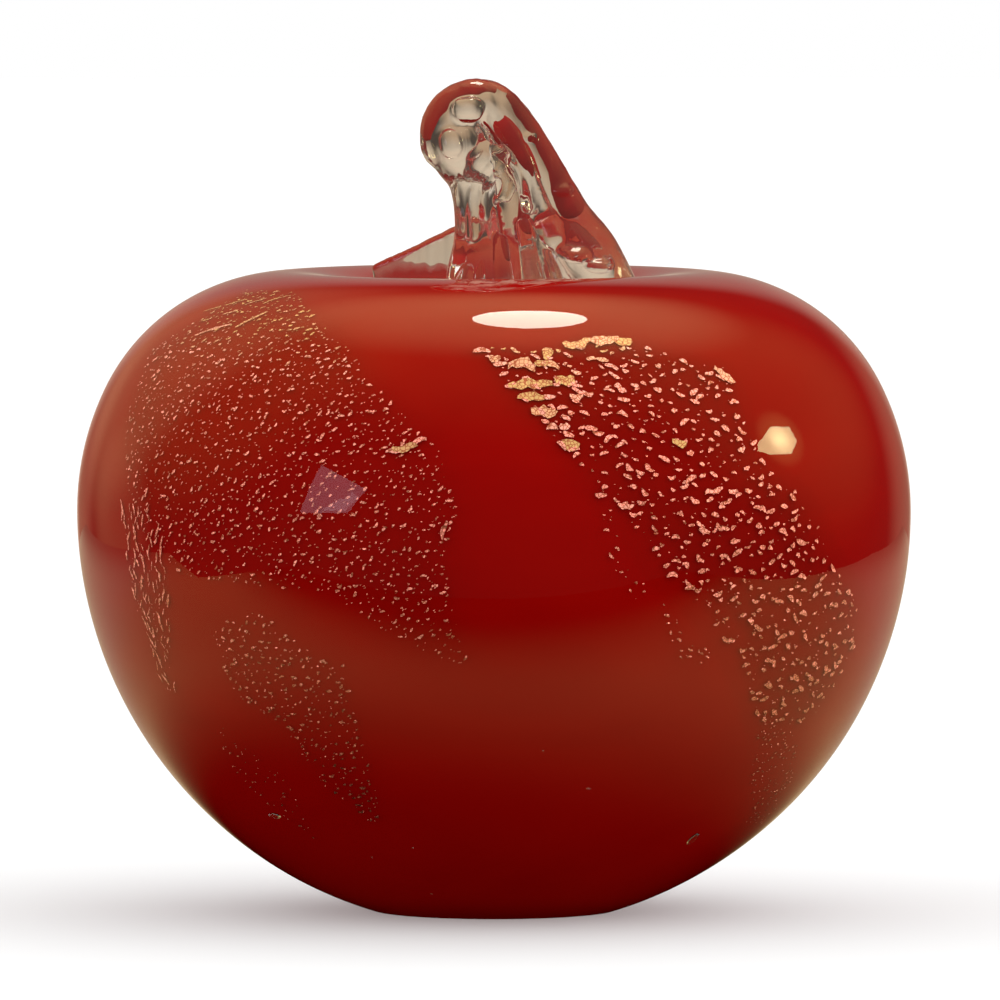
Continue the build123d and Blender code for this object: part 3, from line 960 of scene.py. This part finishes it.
def stage_piece(name, corners, material, camera=False, glossy=False, transmission=False):
    """One flat face of the stage, seen only by the rays named."""
    piece = new_piece(name, corners, [tuple(range(len(corners)))], material)
    piece.visible_camera = camera
    piece.visible_glossy = glossy
    piece.visible_transmission = transmission
    piece.visible_diffuse = False
    piece.visible_shadow = False


def floor():
    """Pale floor. Its own glow keeps the shadow under the apple light."""
    material, _, shader = new_material("floor")
    shader.inputs["Base Color"].default_value = FLOOR_COLOUR
    shader.inputs["Roughness"].default_value = 1.0
    shader.inputs["Specular IOR Level"].default_value = 0.0
    shader.inputs["Emission Color"].default_value = (1, 1, 1, 1)
    shader.inputs["Emission Strength"].default_value = FLOOR_GLOW
    corners = ellipse(FLOOR_RADIUS, FLOOR_RADIUS, -FLOOR_DROP, FLOOR_SIDES)
    stage_piece("floor", corners, material, camera=True)


def glow(name, colour, radiance):
    """Material that only shines."""
    material, tree, shader = new_material(name)
    shader.inputs["Base Color"].default_value = (0, 0, 0, 1)
    shader.inputs["Specular IOR Level"].default_value = 0.0
    shader.inputs["Emission Color"].default_value = (*colour, 1)
    shader.inputs["Emission Strength"].default_value = radiance
    return material, tree, shader


# Brown table top in the reflections: corners, colours in front and behind with the stretch along Y where
# they change, distances over which the apple's shadow ends, the stretch in front over which the table
# darkens, and the distances to both sides over which it dims, with the share left there
TABLE = [(-0.19, -0.15), (0.17, -0.15), (0.2, -0.06), (0.26, 0.06), (0.31, 0.2), (0.33, 0.6), (-0.34, 0.6),
         (-0.32, 0.03), (-0.2, -0.03)]
TABLE_NEAR_COLOUR = (0.56, 0.42, 0.16, 1)
TABLE_FAR_COLOUR = (0.55, 0.41, 0.27, 1)
TABLE_TURN = (-0.04, 0.14)
TABLE_SHADE_PLACE = (-0.008, 0, 0)
TABLE_SHADE = (0.036, 0.086)
TABLE_FRONT = (-0.122, -0.055)
TABLE_ENDS = (0.18, 0.33)
TABLE_ENDS_LEFT = 0.4


def axis_value(tree, axis):
    """One of the object's own coordinates."""
    parts = add(tree, "ShaderNodeSeparateXYZ")
    tree.links.new(texture_place(tree), parts.inputs["Vector"])
    return parts.outputs[axis]


def table():
    """Table top that only reflections see, dim near the apple, in front of it and towards its ends."""
    material, tree, shader = glow("table", TABLE_NEAR_COLOUR[:3], 1)
    lit = fade(tree, distance_from(tree, TABLE_SHADE_PLACE), TABLE_SHADE, (0, 1))
    lit = times(tree, lit, fade(tree, axis_value(tree, "Y"), TABLE_FRONT, (0, 1)))
    aside = add(tree, "ShaderNodeMath", operation="ABSOLUTE")
    tree.links.new(axis_value(tree, "X"), aside.inputs[0])
    lit = times(tree, lit, fade(tree, aside.outputs["Value"], TABLE_ENDS, (1, TABLE_ENDS_LEFT)))
    tree.links.new(lit, shader.inputs["Emission Strength"])
    far = fade(tree, axis_value(tree, "Y"), TABLE_TURN, (0, 1))
    tree.links.new(mixed(tree, far, TABLE_NEAR_COLOUR, TABLE_FAR_COLOUR), shader.inputs["Emission Color"])
    stage_piece("table", [(x, y, -2 * FLOOR_DROP) for x, y in TABLE], material, glossy=True)


# Lamps and windows that only glass shows, mirrored or through it, each a step nearer than the last,
# as corners (azimuth, elevation), colour and radiance. The side lamp is brightest at its bulb. The ceiling
# lamp is oval
PANEL_DISTANCE = 1.2
PANEL_STEP = 0.01
PANELS = {
    "side_lamp": ([(82, 19.8), (83, 21.8), (91, 25.2), (97.5, 23.2), (97.5, 19.3), (93.5, 16.6), (86, 17.9)],
                  (1, 0.94, 0.46), 8.5),
    "window": ([(-49.5, 21.5), (-34.5, 13.5), (-39, 4.5), (-53, 4)], (0.95, 0.84, 1), 1.2),
    "window_pane": ([(-49, 12.5), (-41, 14), (-36.5, 10.5), (-40, 5.2), (-47.5, 5)], (0.95, 0.86, 1), 2.3),
}
SIDE_BULB = (91.5, 21.2)
SIDE_BULB_REACH = 0.11
SIDE_BULB_RADIANCE = 18
CEILING_LAMP = (167, 71)
CEILING_LAMP_WIDTH = 14
CEILING_LAMP_LENGTH = 16.5
CEILING_LAMP_SIDES = 48
CEILING_LAMP_COLOUR = (1, 0.95, 0.76)
CEILING_LAMP_RADIANCE = 13


def panels():
    centre = Vector((0, 0, RIM_HEIGHT / 2))
    for index, (name, (corners, colour, radiance)) in enumerate(PANELS.items()):
        distance = PANEL_DISTANCE - PANEL_STEP * index
        places = [centre + direction(*corner) * distance for corner in corners]
        material, tree, shader = glow(name, colour, radiance)
        if name == "side_lamp":
            away = distance_from(tree, centre + direction(*SIDE_BULB) * PANEL_DISTANCE)
            shine = fade(tree, away, (0, SIDE_BULB_REACH), (SIDE_BULB_RADIANCE, radiance))
            tree.links.new(shine, shader.inputs["Emission Strength"])
        stage_piece(name, places, material, glossy=True, transmission=True)
    towards = direction(*CEILING_LAMP)
    half_width = PANEL_DISTANCE * math.tan(math.radians(CEILING_LAMP_WIDTH / 2))
    half_length = PANEL_DISTANCE * math.tan(math.radians(CEILING_LAMP_LENGTH / 2))
    turn = towards.to_track_quat("Z", "Y")
    rim = ellipse(half_width, half_length, 0, CEILING_LAMP_SIDES)
    places = [centre + towards * PANEL_DISTANCE + turn @ Vector(corner) for corner in rim]
    material, _, _ = glow("ceiling_lamp", CEILING_LAMP_COLOUR, CEILING_LAMP_RADIANCE)
    stage_piece("ceiling_lamp", places, material, glossy=True, transmission=True)


# Light from all round: an even colour, then patches as direction, angles where they are full and gone,
# and colour. The soft light falls on the apple, the walls show in its mirror, the rest through the stem
SOFT_LIGHT = (0.27, 0.265, 0.255), [
    (direction(0, 90), 45, 105, (0.62, 0.605, 0.585)),
    (direction(175, 48), 5, 40, (1.0, 0.985, 0.955)),
    (direction(85, 25), 10, 80, (1.06, 1.04, 1.01)),
    (direction(-95, 16), 10, 75, (0.76, 0.745, 0.725)),
    (direction(0, 22), 10, 70, (0.31, 0.305, 0.295)),
]
WALLS = (0.045, 0.032, 0.026), [
    (direction(168, 70), 6, 34, (1.05, 0.8, 0.37)),
    (direction(0, 90), 15, 62, (0.2, 0.15, 0.05)),
    (direction(-140, 28), 18, 34, (0.44, 0.29, 0.14)),
    (direction(-105, 38), 10, 45, (0.26, 0.17, 0.04)),
    (direction(105, 34), 15, 44, (0.24, 0.18, 0.06)),
    (direction(180, -14), 5, 18, (0.4, 0.3, 0.21)),
    (direction(180, 10), 6, 20, (0.3, 0.24, 0.205)),
    (direction(-162, 0), 4, 19, (0.34, 0.16, 0.09)),
    (direction(160, -2), 5, 22, (0.3, 0.16, 0.1)),
    (direction(-128, -3), 5, 20, (0.32, 0.2, 0.1)),
    (direction(94, 21), 2, 9, (1.0, 0.66, 0.2)),
]
BEHIND_GLASS = (0.05, 0.038, 0.032), [
    (direction(180, 20), 0, 34, (0.74, 0.65, 0.54)),
    (direction(180, 55), 0, 26, (0.50, 0.44, 0.36)),
    (direction(-125, 25), 0, 32, (0.92, 0.87, 0.80)),
    (direction(125, 20), 0, 28, (0.74, 0.63, 0.50)),
    (direction(0, 60), 0, 32, (0.70, 0.63, 0.53)),
    (direction(-60, 10), 0, 26, (0.60, 0.56, 0.52)),
    (direction(60, 15), 0, 24, (0.60, 0.52, 0.42)),
    (direction(180, -24), 0, 26, (0.50, 0.36, 0.24)),
    (direction(-20, -20), 0, 26, (0.40, 0.27, 0.16)),
    (direction(90, 65), 0, 20, (0.80, 0.72, 0.60)),
]


def patch(tree, look, towards, inner, outer, colour):
    """Soft patch of colour round a direction, out to an angle."""
    dot = add(tree, "ShaderNodeVectorMath", operation="DOT_PRODUCT")
    dot.inputs[1].default_value = towards
    tree.links.new(look, dot.inputs[0])
    span = (math.cos(math.radians(outer)), math.cos(math.radians(inner)))
    scaled = add(tree, "ShaderNodeVectorMath", operation="SCALE")
    scaled.inputs[0].default_value = colour
    tree.links.new(fade(tree, dot.outputs["Value"], span, (0, 1)), scaled.inputs["Scale"])
    return scaled.outputs["Vector"]


def patches(tree, look, base, rows):
    """Sum of an even colour and soft patches."""
    total = None
    for row in rows:
        both = add(tree, "ShaderNodeVectorMath", operation="ADD")
        if total is None:
            both.inputs[0].default_value = base
        else:
            tree.links.new(total, both.inputs[0])
        tree.links.new(patch(tree, look, *row), both.inputs[1])
        total = both.outputs["Vector"]
    return total


# Times that a ray has passed into glass when it has passed into the casing alone, and the room for error
CASED_DEPTH = (1, 0.5)


def room():
    """White behind the apple, soft light on it, dim walls in its mirror and warm ones through the stem."""
    world = bpy.data.worlds.new("room")
    bpy.context.scene.world = world
    world.use_nodes = True
    tree = world.node_tree
    look = add(tree, "ShaderNodeTexCoord").outputs["Generated"]
    path = add(tree, "ShaderNodeLightPath")
    cased = add(tree, "ShaderNodeMath", operation="COMPARE")
    tree.links.new(path.outputs["Transmission Depth"], cased.inputs[0])
    cased.inputs[1].default_value, cased.inputs[2].default_value = CASED_DEPTH
    mirrored = add(tree, "ShaderNodeMath", operation="SUBTRACT", use_clamp=True)
    tree.links.new(path.outputs["Is Glossy Ray"], mirrored.inputs[0])
    tree.links.new(cased.outputs["Value"], mirrored.inputs[1])
    soft, walls = patches(tree, look, *SOFT_LIGHT), patches(tree, look, *WALLS)
    light = mixed(tree, mirrored.outputs["Value"], soft, walls)
    light = mixed(tree, path.outputs["Is Transmission Ray"], light, patches(tree, look, *BEHIND_GLASS))
    light = mixed(tree, path.outputs["Is Camera Ray"], light, (1, 1, 1, 1))
    tree.links.new(light, tree.nodes["Background"].inputs["Color"])


def camera():
    data = bpy.data.cameras.new("camera")
    data.lens = data.sensor_width * EYE_DISTANCE / FRAME_WIDTH
    thing = bpy.data.objects.new("camera", data)
    thing.location = AIM + direction(0, EYE_ELEVATION) * EYE_DISTANCE
    thing.rotation_euler = (math.radians(UP - EYE_ELEVATION), 0, 0)
    bpy.context.scene.collection.objects.link(thing)
    bpy.context.scene.camera = thing


def main():
    camera()
    casing(stem())
    red_layer()
    chance = random.Random(LEAF_SEED)
    for node in LEAF_SHEETS:
        leaf_sheet(node, chance)
    bubble_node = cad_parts["inner_bubble"]
    bubble_node.data.materials.clear()
    bubble_node.data.materials.append(OPAL_GLASS)
    floor()
    table()
    panels()
    room()
    scene = bpy.context.scene
    scene.view_settings.view_transform = "Standard"
    scene.cycles.caustics_refractive = False
    scene.cycles.caustics_reflective = False
    scene.cycles.max_bounces = GLASS_BOUNCES
    scene.cycles.glossy_bounces = GLASS_BOUNCES
    scene.cycles.transmission_bounces = GLASS_BOUNCES
    scene.cycles.transparent_max_bounces = GLASS_BOUNCES


main()
